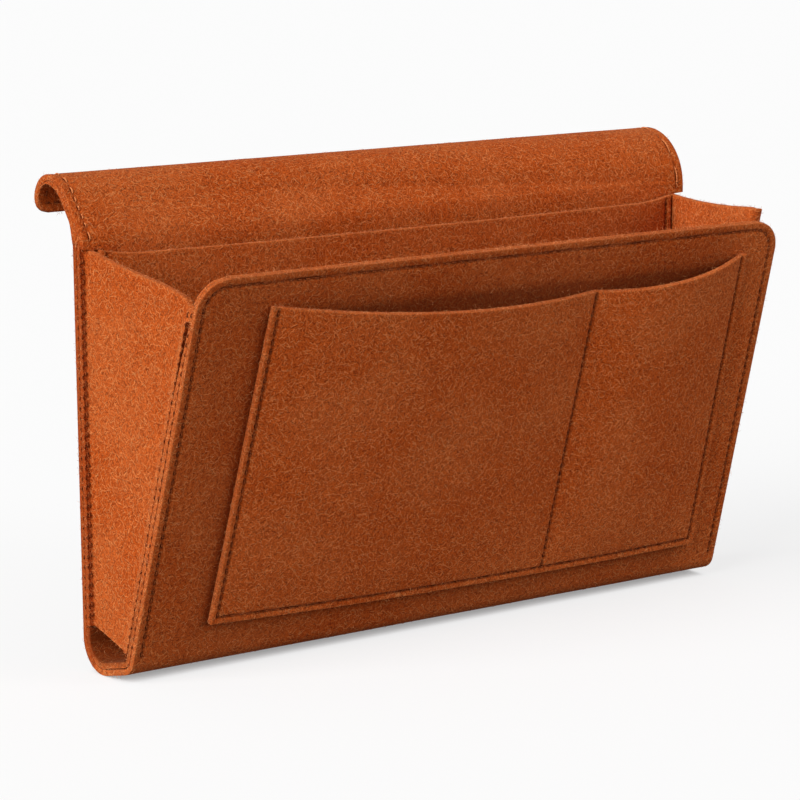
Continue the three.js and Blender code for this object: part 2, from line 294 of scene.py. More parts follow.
def new_mesh(name, points, faces, attributes=()):
    """An object from points in millimetres, with named values at its points."""
    mesh = bpy.data.meshes.new(name)
    mesh.from_pydata((np.asarray(points) * MM).tolist(), [], faces)
    for label, values in attributes:
        layer = mesh.attributes.new(label, "FLOAT", "POINT")
        layer.data.foreach_set("value", np.asarray(values, np.float32))
    mesh.update()
    mesh.shade_smooth()
    return new_object(name, mesh)


def closed_faces(rows, columns):
    """Faces of a closed sheet whose points are [side][row][column]."""
    index = np.arange(2 * rows * columns).reshape(2, rows, columns)
    loops = [[grid[:-1, :-1], grid[:-1, 1:], grid[1:, 1:], grid[1:, :-1]] for grid in index]
    borders = index[:, :, 0], index[:, :, -1], index[:, 0], index[:, -1]
    loops += [[near[:-1], far[:-1], far[1:], near[1:]] for near, far in borders]
    orders = 1, -1, -1, 1, 1, -1
    return np.concatenate([
        np.stack([corner.ravel() for corner in loop[::order]], -1) for loop, order in zip(loops, orders)
    ])


def signed_volume(points, faces):
    """Six times the volume inside faces of four corners, below 0 where they face inwards."""
    a, b, c, d = (points[faces[:, k]] for k in range(4))
    return float((np.cross(a, b) * c).sum() + (np.cross(a, c) * d).sum())


class Seam:
    """A row of stitches along a line of points in a sheet's own flat coordinates."""

    def __init__(self, points, phase=0.5, groove=1.0):
        self.points = np.asarray(points, float)
        self.groove = groove
        steps = np.linalg.norm(np.diff(self.points, axis=0), axis=1)
        self.reach = np.concatenate([[0], np.cumsum(steps)])
        count = max(int(self.reach[-1] / STITCH_PITCH), 1)
        self.centres = (np.arange(count) + phase) * self.reach[-1] / count

    def at(self, along):
        return np.stack([np.interp(along, self.reach, self.points[:, k]) for k in range(2)], -1)

    def nearest(self, flat):
        """Distance from each flat point to the line, and the distance along it."""
        best = np.full(flat.shape[:-1], 1e9)
        along = np.zeros(flat.shape[:-1])
        for a, b, start in zip(self.points[:-1], self.points[1:], self.reach[:-1]):
            line = b - a
            length = np.linalg.norm(line)
            share = np.clip(((flat - a) @ line) / length**2, 0, 1)
            gap = np.linalg.norm(flat - a - share[..., None] * line, axis=-1)
            closer = gap < best
            best = np.where(closer, gap, best)
            along = np.where(closer, start + share * length, along)
        return best, along

    def press(self, flat):
        """How deep the seam presses into the felt at flat points, and how much painted shade darkens it there."""
        gap, along = self.nearest(flat)
        groove = np.exp(-((gap / GROOVE_WIDTH) ** 2))
        pitch = self.reach[-1] / len(self.centres)
        from_stitch = np.abs((along - self.centres[0] + pitch / 2) % pitch - pitch / 2)
        hole = np.exp(-((from_stitch / HOLE_LENGTH) ** 4)) * np.exp(-((gap / HOLE_WIDTH) ** 2))
        shade = np.clip(self.groove * GROOVE_PAINTED_SHADE * groove + HOLE_PAINTED_SHADE * hole, 0, 1)
        return GROOVE_DEPTH * self.groove * groove + HOLE_DEPTH * hole, shade


def wave(points, size, seed):
    """A smooth unevenness of felt, from -1 to 1, for points in millimetres."""
    draw = np.random.default_rng(seed)
    total = np.zeros(points.shape[:-1])
    for _ in range(WAVES):
        direction = draw.normal(size=3)
        direction /= np.linalg.norm(direction)
        turn = draw.uniform(0, 2 * math.pi)
        total += np.sin(points @ direction * (2 * math.pi / (size * draw.uniform(0.7, 1.5))) + turn)
    return total / WAVES


PIECES = []
WAVES = 5
WAVE_SIZE = 55
FIBRE_DENSITY = 0.035  # per square millimetre
EDGE_FIBRE_DENSITY = 1.1  # per millimetre of raw edge
FIBRE_RADIUS = 0.05
FIBRE_SIDES = 3
FIBRE_RINGS = 4
FACE_LIFT = 0.12, 0.4  # least and most
EDGE_LIFT = 0.25, 0.8


def unit(vectors):
    return vectors / np.maximum(np.linalg.norm(vectors, axis=-1, keepdims=True), 1e-9)


def face_roots(grid, other, density, draw):
    """Random places on one face of a sheet, with the directions that stand out from it."""
    along, over = grid[1:, :-1] - grid[:-1, :-1], grid[:-1, 1:] - grid[:-1, :-1]
    area = np.linalg.norm(np.cross(along, over), axis=-1)
    count = int(area.sum() * density)
    row, column = np.unravel_index(draw.choice(area.size, count, p=area.ravel() / area.sum()), area.shape)
    s, t = draw.random((2, count, 1))
    root = grid[row, column] + s * along[row, column] + t * over[row, column]
    return root, unit((grid - other)[row, column])


def edge_roots(outer, inner, density, draw):
    """Random places on a sheet's raw edges, with the directions that stand out from them."""
    roots, outwards = [], []
    for turn in range(4):
        near, far = (np.rot90(grid, turn)[0] for grid in (outer, inner))
        behind = np.rot90(outer, turn)[1]
        steps = np.linalg.norm(np.diff(near, axis=0), axis=1)
        reach = np.concatenate([[0], np.cumsum(steps)])
        spots = draw.uniform(0, reach[-1], int(reach[-1] * density))
        number = np.clip(np.searchsorted(reach, spots) - 1, 0, len(near) - 2)
        share = ((spots - reach[number]) / np.maximum(steps[number], 1e-9))[:, None]
        a, b = lerp(near[number], near[number + 1], share), lerp(far[number], far[number + 1], share)
        roots.append(lerp(a, b, draw.uniform(0.05, 0.95, (len(spots), 1))))
        outwards.append(unit(a - lerp(behind[number], behind[number + 1], share)))
    return np.concatenate(roots), np.concatenate(outwards)


def loose_fibres(name, outer, inner, seed):
    """Short curled fibres that lie on a sheet's faces and stand a little out of its raw edges."""
    draw = np.random.default_rng(seed)
    parts = [
        (*face_roots(outer, inner, FIBRE_DENSITY, draw), *FACE_LIFT),
        (*face_roots(inner, outer, FIBRE_DENSITY / 3, draw), *FACE_LIFT),
        (*edge_roots(outer, inner, EDGE_FIBRE_DENSITY, draw), *EDGE_LIFT),
    ]
    root = np.concatenate([part[0] for part in parts])
    outwards = np.concatenate([part[1] for part in parts])
    lift = np.concatenate([draw.uniform(part[2], part[3], len(part[0])) for part in parts])[:, None]
    heading = draw.normal(size=root.shape)
    heading = unit(heading - outwards * (heading * outwards).sum(-1, keepdims=True))
    side = np.cross(outwards, heading)
    length = draw.uniform(0.9, 2.6, (len(root), 1))
    curl = draw.normal(0, 0.4, (len(root), 1))
    share = np.linspace(0, 1, FIBRE_RINGS)
    centres = np.stack([
        root + heading * length * s + outwards * (lift * math.sin(math.pi * s * 0.94) - 0.06) + side * curl * s * s
        for s in share
    ], 1)
    turn = np.arange(FIBRE_SIDES) * 2 * math.pi / FIBRE_SIDES
    cosine, sine = np.cos(turn)[:, None], np.sin(turn)[:, None]
    ring = cosine * side[:, None, None] + sine * outwards[:, None, None]
    girth = (FIBRE_RADIUS * (1.15 - share**2))[None, :, None, None]
    points = centres[:, :, None] + ring * girth
    points[..., 2] = np.maximum(points[..., 2], 0)
    base = np.arange(FIBRE_RINGS * FIBRE_SIDES).reshape(FIBRE_RINGS, FIBRE_SIDES)
    after = np.roll(base, -1, 1)
    quads = np.stack([base[:-1], after[:-1], after[1:], base[1:]], -1).reshape(-1, 4)
    ends = np.stack([base[0][::-1], base[-1]])
    start = np.arange(len(root))[:, None, None] * base.size
    faces = (start + quads).reshape(-1, 4).tolist() + (start + ends).reshape(-1, 3).tolist()
    tone = np.repeat(draw.random(len(root)), base.size)
    PIECES.append(new_mesh(name, points.reshape(-1, 3), faces, (("tone", tone),)))


def felt_sheet(name, flat, place, seed, unevenness, seams=(), shade_at=None):
    """A closed felt sheet. flat is [row][column] of its own coordinates, and place(flat, w) puts
    them in space, with w from 0 on its inner side to FELT on its outer side, where the seams are.
    shade_at gives a soft painted shade on the outer side."""
    rows, columns = flat.shape[:2]
    mid = place(flat, FELT / 2)
    drift = unevenness * wave(mid, WAVE_SIZE, seed)
    depth = np.zeros((rows, columns))
    painted_seam_shade, painted_soft_shade = np.zeros((2, 2, rows, columns))
    for seam in seams:
        pressed, dark = seam.press(flat)
        depth = np.maximum(depth, pressed)
        painted_seam_shade[0] = np.maximum(painted_seam_shade[0], dark)
    if shade_at is not None:
        painted_soft_shade[0] = shade_at(mid)
    sides = [place(flat, FELT - depth + drift), place(flat, drift)]
    points = np.stack(sides).reshape(-1, 3)
    faces = closed_faces(rows, columns)
    if signed_volume(points, faces) < 0:
        faces = faces[:, ::-1]
    # Raw edges get a colour mark: paler raw fibres with a painted highlight, and painted shade on those at the
    # back.
    cut_edge = np.zeros((2, rows, columns))  # 1 on raw edges, -1 on those at the back, 0 on the hook
    cut_edge[:, 0] = cut_edge[:, -1] = 1
    cut_edge[:, :, 0] = cut_edge[:, :, -1] = 1
    cut_edge *= np.where(mid[..., 1] > BACK_FACE - BACK_LAYERS, -1, 1) * (mid[..., 2] < BACK_HEIGHT)
    sheet = new_mesh(name, points, faces.tolist(), (
        ("painted_seam_shade", painted_seam_shade.ravel()),
        ("cut_edge", cut_edge.ravel()),
        ("painted_soft_shade", painted_soft_shade.ravel()),
    ))
    loose_fibres(f"{name}_fibres", *sides, seed + 40)
    bevel = sheet.modifiers.new("rounded edge", "BEVEL")
    bevel.width = EDGE_ROUND * MM
    bevel.segments = 3
    bevel.limit_method = "ANGLE"
    bevel.angle_limit = math.radians(50)
    PIECES.append(sheet)
    return sheet


# Threads


def tube(centres):
    """Points and faces of a thread along a line of centres, a closed tube with round ends."""
    heading = unit(np.gradient(centres, axis=0))
    side = unit(np.cross(heading, (0.31, 0.27, 0.91)))  # a direction that no thread has
    other = np.cross(heading, side)
    share = np.linspace(-1, 1, len(centres))
    girth = THREAD_RADIUS * np.sqrt(np.clip(1 - np.abs(share) ** 6, 0.04, 1))
    turn = np.arange(THREAD_SIDES) * 2 * math.pi / THREAD_SIDES
    ring = np.cos(turn)[None, :, None] * side[:, None] + np.sin(turn)[None, :, None] * other[:, None]
    points = (centres[:, None] + ring * girth[:, None, None]).reshape(-1, 3)
    faces = []
    for k in range(len(centres) - 1):
        for s in range(THREAD_SIDES):
            a, b = k * THREAD_SIDES + s, k * THREAD_SIDES + (s + 1) % THREAD_SIDES
            faces.append((a, b, b + THREAD_SIDES, a + THREAD_SIDES))
    faces.append(tuple(range(THREAD_SIDES))[::-1])
    faces.append(tuple(range(len(points) - THREAD_SIDES, len(points))))
    return points, faces


def stitches(name, seams, place, seed, w=FELT, sunk=0.8):
    """The threads of some seams in a sheet: w is the side they are on, sunk how deep they lie."""
    draw = np.random.default_rng(seed)
    arch = THREAD_RADIUS * 2.2 * (1 - np.linspace(-1, 1, STITCH_POINTS) ** 2)
    depth = w + (arch - sunk - THREAD_RADIUS)
    points, faces = [], []
    for seam in seams:
        for centre in seam.centres:
            half = STITCH_LENGTH / 2 * draw.uniform(0.9, 1.05)
            flat = seam.at(centre + np.linspace(-half, half, STITCH_POINTS)) + draw.normal(0, STITCH_DRIFT, 2)
            thread_points, thread_faces = tube(place(flat, depth))
            start = sum(len(part) for part in points)
            points.append(thread_points)
            faces += [tuple(corner + start for corner in face) for face in thread_faces]
    PIECES.append(new_mesh(name, np.concatenate(points), faces))


# The sheets of the body


def rounded_line(start, corner, end, radius):
    """Points from start to end round one corner."""
    start, corner, end = (np.asarray(p, float) for p in (start, corner, end))
    into = (start - corner) / np.linalg.norm(start - corner)
    out = (end - corner) / np.linalg.norm(end - corner)
    turn = np.linspace(0, 1, 10)[:, None] * QUARTER_TURN
    a, b = corner + into * radius, corner + out * radius
    centre = a + b - corner
    return centre + (a - centre) * np.cos(turn) + (b - centre) * np.sin(turn)


def front_edge_seam(inset):
    """The seam round the front panel's sides and rim, in distance and place across."""
    foot = FRONT_FOLD_START - 2
    top_half, foot_half = float(body_half_width(0.0)), float(body_half_width(foot))
    radius = FRONT_CORNER_RADIUS - inset
    left = rounded_line((foot, inset - foot_half), (inset, inset - top_half), (inset, 0), radius)
    right = rounded_line((inset, 0), (inset, top_half - inset), (foot, foot_half - inset), radius)
    return Seam(np.concatenate([[(foot, inset - foot_half)], left, right, [(foot, foot_half - inset)]]))


def back_edge_seam(inset):
    """The seam up the back wall's sides and along its rim."""
    foot, top = back_distance(GUSSET_REAR_BOTTOM + 1), BACK_RIM - inset
    foot_half, top_half = float(body_half_width(foot)), float(body_half_width(top))
    return Seam([
        (foot, inset - foot_half), (top, inset - top_half), (top, top_half - inset), (foot, foot_half - inset),
    ])


# Steps of the grids: rows from the front rim, and columns in from each side
RIM_ROWS = np.concatenate([[0, 1.5], np.arange(2.3, 7.0, 0.42), np.arange(7.6, 15, 1.0)])
SIDE_STEPS = np.concatenate([
    [0, 1.5], np.arange(2.3, 7.0, 0.42), np.arange(7.6, 16, 1.4), np.linspace(18, 163.5, 28),
])
SIDE_BLEND = 14.0, 80.0  # from the side, where the steps change from true lengths to shares


def body_grid(distances, half):
    """[row][column] of distance and x, for rows at distances with their half widths."""
    half = half[:, None]
    steps = SIDE_STEPS[None, :]
    from_side = lerp(steps, steps / np.max(SIDE_STEPS) * half, smoothstep(steps, *SIDE_BLEND))
    across = np.concatenate([(-half + from_side)[:, :-1], half - from_side[:, ::-1]], axis=1)
    return np.stack([np.broadcast_to(distances[:, None], across.shape), across], -1)


def front_corner(distance):
    """Half width of the body with the front panel's round top corners."""
    return body_half_width(distance) - corner_cut(distance, FRONT_CORNER_RADIUS)


def rim_press(flat):
    """How far the sewn front rim is pressed together, from 0 well below it to 1 at the rim."""
    return 1 - smoothstep(flat[..., 0], *RIM_PRESS_REACH)


def outer_layer(flat, w):
    left = -LAYER_PITCH + (FELT - w) * (1 - OUTER_PRESS * rim_press(flat))
    return body_place(flat[..., 0], flat[..., 1], left)


def lining_layer(flat, w):
    press = rim_press(flat)
    return body_place(flat[..., 0], flat[..., 1], w * (1 - LINING_PRESS * press) - LINING_SHIFT * press)


def beside_pocket(points):
    """How near a point of the front panel is to the pocket that stands out on it, from 0 to 1: the strength of the
    painted shade beside the pocket.
    """
    x = points[..., 0]
    up = (points[..., 2] - FRONT_FOLD_TOP) / math.cos(FRONT_LEAN)
    left_edge, right_edge = pocket_sides(up)
    across = (x - POCKET_BOTTOM_LEFT) / (POCKET_BOTTOM_RIGHT - POCKET_BOTTOM_LEFT)
    below = pocket_low(np.clip(across, 0, 1)) - up
    above = up - POCKET_CORNER_HEIGHT + POCKET_SHADE_ABOVE
    gap = np.maximum(np.maximum(np.maximum(left_edge - x, below), above), 0)
    near = sum(strength * np.exp(-gap / reach) for strength, reach in POCKET_SHADE)
    return near * (1 - smoothstep(x - right_edge, *POCKET_SHADE_RIGHT)) * (points[..., 1] < 0)


def low_inside(points):
    """How deep in the painted shade low in the compartment a point of the lining is."""
    return LOW_INSIDE_PAINTED_SHADE * (1 - smoothstep(points[..., 2], *LOW_INSIDE))


def make_outer_shell():
    rows = np.unique(np.round(np.concatenate([
        RIM_ROWS, np.arange(15.5, FRONT_FOLD_START, 0.9), np.arange(FRONT_FOLD_START, BACK_START, 0.9),
        np.arange(BACK_START, BACK_RIM - 7, 0.9), BACK_RIM - np.arange(0, 6.9, 0.42)[::-1][:-4], [BACK_RIM],
    ]), 3))
    seams = [front_edge_seam(SEAM_INSET), back_edge_seam(SEAM_INSET)]
    sheet = felt_sheet("outer_shell_felt", body_grid(rows, front_corner(rows)), outer_layer, 3, 0.1, seams,
                       beside_pocket)
    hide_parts("outer_shell")
    stitches("outer_shell_threads", seams, outer_layer, 31)


def make_front_lining():
    rows = np.unique(np.round(np.concatenate([
        RIM_ROWS, np.arange(16, BASE_START, 1.5), np.arange(BASE_START, BACK_START, 1.2),
        np.linspace(BACK_START, back_distance(LINING_JOINT_HEIGHT), 3),
    ]), 3))
    seams = [front_edge_seam(SEAM_INSET)]
    sheet = felt_sheet("front_lining_felt", body_grid(rows, front_corner(rows)), lining_layer, 3, 0.1, seams,
                       low_inside)
    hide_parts("front_lining")
    stitches("front_lining_threads", seams, lining_layer, 32)


# The hook's sheets


def back_inside_half(height):
    return back_half_width(height) - FLANGE_REACH - FELT - INNER_SIDE_GAP


def hook_edges(distance, lower_edge):
    """Left and right edges of a hook sheet along the path."""
    height = LEFT_PATH.at(distance)[1]
    tongue = back_inside_half(height) - corner_cut(distance - lower_edge, TONGUE_CORNER_RADIUS)
    hook = body_half_width(distance) - corner_cut(HOOK_END - distance, HOOK_CORNER_RADIUS)
    on_hook = distance > BACK_RIM - HOOK_SHOULDER[0]
    return np.where(on_hook, -hook, -tongue), np.where(on_hook, hook + HOOK_RIGHT_OVERHANG, tongue)


def hook_place(distance, across, left):
    """A point of the hook's sheets, like body_place."""
    low, high = hook_edges(distance, TONGUE_EDGE)
    share = np.clip((across - low) / (high - low), 0, 1)
    return between_paths(distance, across, share, left)


def hook_grid(lower_edge):
    """Grid of a hook sheet: close at its lower edge, even up to the shoulder, close in the bends."""
    tongue_end = BACK_RIM - HOOK_SHOULDER[0]
    rows = np.concatenate([
        lower_edge + np.array([0, 0.3, 1.0, 1.8, 2.6, 3.4, 4.2, 5.2, 6.4, 8, 10]),
        np.arange(lower_edge + 11.5, tongue_end - 0.5, 1.6), [tongue_end],
        np.arange(BACK_RIM - HOOK_SHOULDER[1], HOOK_END - 0.3, 0.55), [HOOK_END],
    ])
    low, high = hook_edges(rows, lower_edge)
    grid = body_grid(rows, (high - low) / 2)
    grid[..., 1] += ((low + high) / 2)[:, None]
    return grid


def hook_seam(inset):
    start, end = BACK_RIM - 1.0, HOOK_END - inset
    left = inset - float(body_half_width(start))
    right = float(body_half_width(end)) + HOOK_RIGHT_OVERHANG - inset
    return Seam([(start, left), (end, left), (end, right), (start, right)], groove=0.3)


def tongue_seam(inset):
    foot, top = TONGUE_EDGE + inset, BACK_RIM - 3.0
    half = float(back_inside_half(BACK_HEIGHT)) - inset
    cut = 6  # off the tongue's two corners
    return Seam([
        (top, -half), (foot + cut, -half), (foot, cut - half), (foot, half - cut), (foot + cut, half), (top, half),
    ])


def under_layer(flat, w):
    """The hook's under layer, pressed at its sewn ends and worn thin towards the tail."""
    distance, across = flat[..., 0], flat[..., 1]
    bends = zip(LEFT_PATH.pieces[7:9], TAIL_THINNING_SHARES)
    thin = TAIL_THINNING * smoothstep(distance, *[bend[0] + share * bend[1] for bend, share in bends])
    low, high = hook_edges(distance, TONGUE_EDGE)
    from_end = np.minimum(across - low, high - across)
    on_hook = distance > BACK_RIM - HOOK_SHOULDER[0]
    press = HOOK_END_PRESS * (1 - smoothstep(from_end, *HOOK_END_REACH)) * on_hook
    past_rim = 1 - smoothstep(distance, BACK_RIM, BACK_RIM + OVER_RIM_LENGTH)
    to_right = (across - low) / (high - low)
    over_rim = LAYER_PITCH / FELT * past_rim * (distance > BACK_RIM) * (1 - smoothstep(to_right, *OVER_RIM_FADE))
    return hook_place(distance, across, FELT - w * (1 - thin - press * (1 - over_rim) + over_rim))


def flap_layer(flat, w):
    return hook_place(flat[..., 0], flat[..., 1], LAYER_PITCH + w)


def make_hook():
    seams = [hook_seam(SEAM_INSET), tongue_seam(SEWING_MARGIN)]
    flap = felt_sheet("hook_flap_felt", hook_grid(TONGUE_EDGE), flap_layer, 5, 0.08, seams)
    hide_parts("hook_flap")
    stitches("hook_flap_threads", seams, flap_layer, 33, sunk=0.2)
    grid = hook_grid(back_distance(LINING_JOINT_HEIGHT + LINING_JOINT_GAP))
    lining = felt_sheet("back_lining_felt", grid, under_layer, 5, 0.08, seams[:1])
    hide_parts("back_lining")
    stitches("back_lining_threads", seams[:1], under_layer, 34, sunk=0.5)


# Gussets


def gusset_plan(height, side):
    """Centre line of a gusset at heights: x, y and the outward normal's angle, [height][point]."""
    height = np.atleast_1d(height)[:, None]
    set_back = FLANGE_REACH + FELT / 2
    radius = GUSSET_BEND_RADIUS
    rear_x, rear_y = back_half_width(height), np.full_like(height, BACK_FACE - LAYER_PITCH - FELT / 2)
    slope_up = (height - FRONT_FOLD_TOP) / math.cos(FRONT_LEAN)
    front_face = FRONT_FOLD_FACE - slope_up * math.sin(FRONT_LEAN)
    inset = GUSSET_TOP_INSET[side] * smoothstep(height, FRONT_HEIGHT - 2 * FRONT_CORNER_RADIUS, FRONT_HEIGHT)
    front_x = front_half_width(height) - inset
    front_y = front_face + (2 * LAYER_PITCH + FELT / 2) / math.cos(FRONT_LEAN)
    rear_bend = np.linspace(QUARTER_TURN, math.pi, BEND_POINTS)[None, :]
    front_bend = np.linspace(math.pi, math.pi + QUARTER_TURN, BEND_POINTS)[None, :]
    flange = np.linspace(0, 1, FLANGE_POINTS + 1)[None, :-1]
    web = np.linspace(0, 1, WEB_POINTS + 2)[None, 1:-1]
    bend_x = -set_back + radius
    rear_flange_x = lerp(rear_x, rear_x + bend_x, flange)
    front_flange_x = lerp(front_x, front_x + bend_x, flange[:, ::-1])
    x = np.concatenate([
        rear_flange_x, rear_x + bend_x + radius * np.cos(rear_bend), lerp(rear_x, front_x, web) - set_back,
        front_x + bend_x + radius * np.cos(front_bend), front_flange_x,
    ], 1)
    depth = FRONT_BEND_DEPTH[side]
    y = np.concatenate([
        np.broadcast_to(rear_y, rear_flange_x.shape), rear_y - radius + radius * np.sin(rear_bend),
        lerp(rear_y - radius, front_y + depth, web), front_y + depth + depth * np.sin(front_bend),
        np.broadcast_to(front_y, front_flange_x.shape),
    ], 1)
    angles = np.concatenate([
        np.full(FLANGE_POINTS, QUARTER_TURN), rear_bend[0], np.full(WEB_POINTS, math.pi), front_bend[0],
        np.full(FLANGE_POINTS, math.pi + QUARTER_TURN),
    ])
    return x, y, np.broadcast_to(angles, x.shape)


def make_gusset(side):
    sign = 1 if side == "right" else -1
    sample_y = gusset_plan(GUSSET_FRONT_BOTTOM, side)[1][0]
    rear, front = sample_y[FLANGE_POINTS + BEND_POINTS - 1], sample_y[-FLANGE_POINTS - BEND_POINTS]
    shares = np.clip((sample_y - rear) / (front - rear), 0, 1)
    columns = len(shares)
    reach = CORNER_REACH[side]
    into_corner = np.clip((front + reach - sample_y) / (reach + FRONT_BEND_DEPTH[side]), 0, 1)
    drop = GUSSET_CORNER_DROP[side] * (1 - np.sqrt(1 - into_corner**2))
    sag = GUSSET_TOP_SAG * 4 * shares * (1 - shares)
    top = lerp(GUSSET_REAR_TOP, GUSSET_FRONT_TOP[side], shares) - sag - drop
    bottom = lerp(GUSSET_REAR_BOTTOM, GUSSET_FRONT_BOTTOM, shares)
    rise = np.concatenate([[0, 0.01], np.linspace(0.02, 0.98, 90), [0.99, 1]])
    height = lerp(bottom[None, :], top[None, :], rise[:, None])
    flat = np.stack([height, np.broadcast_to(np.arange(columns, dtype=float), height.shape)], -1)

    def place(flat_points, w):
        heights, column = flat_points[..., 0], flat_points[..., 1]
        low = np.clip(np.floor(column).astype(int), 0, columns - 2)
        share = column - low
        plan = gusset_plan(heights.ravel(), side)
        pick = np.arange(heights.size), low.ravel()
        after = pick[0], pick[1] + 1
        x, y, angle = (lerp(grid[pick], grid[after], share.ravel()).reshape(heights.shape) for grid in plan)
        out = w - FELT / 2
        return np.stack([sign * (x + out * np.cos(angle)), y + out * np.sin(angle), heights], -1)

    sheet = felt_sheet(f"{side}_gusset_felt", flat, place, 7 + sign, 0.1)
    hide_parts(f"{side}_gusset")
    flange = BACK_FACE - LAYER_PITCH - FELT

    def flange_place(flat_points, w):
        heights, inset = flat_points[..., 0], flat_points[..., 1]
        return np.stack([sign * (back_half_width(heights) - inset), flange - w + 0 * heights, heights], -1)

    seam = Seam([(GUSSET_REAR_BOTTOM + 3, 1.1), (GUSSET_REAR_TOP - 3, 1.1)])
    stitches(f"{side}_gusset_threads", [seam], flange_place, 37 + sign, 0.01, -0.15)


def edge_threads():
    """The threads that show between the layers along the raw ends of the front and the back."""
    parts = ((14.0, FRONT_FOLD_START + 4), (back_distance(GUSSET_REAR_BOTTOM + 2), BACK_RIM - 3))
    for number, side in enumerate((-1, 1)):
        for gap, left in enumerate((-LAYER_GAP / 2, FELT + LAYER_GAP / 2)):
            def place(flat, w):
                distance, out = flat[..., 0], flat[..., 1]
                return body_place(distance, side * (front_corner(distance) + out + w), left)

            seams = [Seam([(start, -0.25), (end, -0.25)], 0.4 + 0.2 * gap) for start, end in parts]
            stitches(f"edge_{number}_{gap}_threads", seams, place, 50 + 2 * number + gap, 0.01, -0.1)


# Pockets


POCKET_RIM_ROUND = 1.1
POCKET_EDGE_ROWS = np.concatenate([[0, POCKET_RIM_ROUND], np.arange(1.6, 5.2, 0.36)])
POCKET_SIDE_STEPS = np.concatenate([POCKET_EDGE_ROWS, [5.8, 7.5, 10, 13]])
POCKET_SEAM_STEPS = np.concatenate([[0], np.arange(0.35, 2.6, 0.36), [3.2, 4.5, 6.5, 9.5, 13]])
POCKET_EVEN_FROM = 17  # from a side or a seam, where the columns become even


def rim_dip(dip, share, power):
    return dip * (1 - (1 - share) ** power)


def bulge(depth, across, up):
    return depth * 4 * across * (1 - across) * np.maximum(up, 0) ** BULGE_RISE_POWER


def front_place(x, up, out):
    """A point before the front panel: x, height up its face, and distance out from it."""
    return np.stack([
        x + 0 * up,
        FRONT_FOLD_FACE - up * math.sin(FRONT_LEAN) - out * math.cos(FRONT_LEAN),
        FRONT_FOLD_TOP + up * math.cos(FRONT_LEAN) - out * math.sin(FRONT_LEAN),
    ], -1)


def pocket_sides(up):
    """x of the front pocket's left and right edges at a height up the face."""
    share = (up - POCKET_BOTTOM) / POCKET_HEIGHT
    return lerp(POCKET_BOTTOM_LEFT, POCKET_TOP_LEFT, share), lerp(POCKET_BOTTOM_RIGHT, POCKET_TOP_RIGHT, share)


def pocket_low(across):
    """Height of the front pocket's lower edge up the face, for a place across from 0 to 1."""
    return POCKET_BOTTOM + lerp(*POCKET_BOTTOM_SLOPE, across) - POCKET_BOTTOM_SAG * 4 * across * (1 - across)


def pocket_shape(across, rise):
    """Of the front pocket: x, height up the face and stand-off, for a place across from 0 to 1
    (the sewn sides) and a rise from 0 at its lower edge to 1 at its rim."""
    corner_x = lerp(POCKET_TOP_LEFT, POCKET_TOP_RIGHT, across)
    on_left = corner_x < POCKET_SEAM
    end = np.where(on_left, POCKET_TOP_LEFT, POCKET_TOP_RIGHT)
    power = np.where(on_left, LEFT_RIM_POWER, RIGHT_RIM_POWER)
    rim = POCKET_CORNER_HEIGHT - rim_dip(POCKET_RIM_DIP, (corner_x - end) / (POCKET_SEAM - end), power)
    low = pocket_low(across)
    up = lerp(low, rim, rise)
    x = lerp(*pocket_sides(up), across)
    near_seam = np.minimum(across / POCKET_SEAM_SHARE, (1 - across) / (1 - POCKET_SEAM_SHARE))
    x = x - DIVIDER_LEAN * (1 - rise) * near_seam
    start = np.where(on_left, POCKET_TOP_LEFT + SEWING_MARGIN, POCKET_SEAM)
    stop = np.where(on_left, POCKET_SEAM, POCKET_TOP_RIGHT - SEWING_MARGIN)
    inside = np.clip((corner_x - start) / (stop - start), 0, 1)
    depth = np.where(on_left, POCKET_LEFT_BULGE, POCKET_RIGHT_BULGE)
    free = np.clip((up - low - SEWING_MARGIN) / (rim - low - SEWING_MARGIN), 0, 1)
    return x, up, bulge(depth, inside, free)


def pocket_outline(width, height, groove):
    """The seam down a pocket's left side, along its bottom and up its right side."""
    inset, top = SEWING_MARGIN, height - 1
    return Seam([(inset, top), (inset, inset), (width - inset, inset), (width - inset, top)], groove=groove)


def make_front_pocket():
    width, height, seam_share = POCKET_WIDTH, POCKET_HEIGHT, POCKET_SEAM_SHARE
    edge, by_seam, even = POCKET_SIDE_STEPS / width, POCKET_SEAM_STEPS / width, POCKET_EVEN_FROM / width
    across = np.concatenate([
        edge, np.linspace(even, seam_share - even, 44), seam_share - by_seam[::-1],
        seam_share + by_seam[1:], np.linspace(seam_share + even, 1 - even, 22), 1 - edge[::-1],
    ])
    rise = np.concatenate([
        POCKET_EDGE_ROWS / height, np.arange(5.8, height - 2.0, 0.75) / height, [1 - POCKET_RIM_ROUND / height, 1],
    ])
    flat = np.stack(np.broadcast_arrays(across[None, :] * width, rise[:, None] * height), -1)

    def place(flat_points, w):
        x, up, stand_off = pocket_shape(flat_points[..., 0] / width, flat_points[..., 1] / height)
        return front_place(x, up, LAYER_GAP + stand_off + w)

    divider = Seam([(seam_share * width, SEWING_MARGIN), (seam_share * width, height - 1)], groove=1.1)
    seams = [pocket_outline(width, height, 1.2), divider]
    sheet = felt_sheet("front_pocket_felt", flat, place, 11, 0.1, seams)
    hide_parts("front_pocket")
    stitches("front_pocket_threads", seams, place, 35)


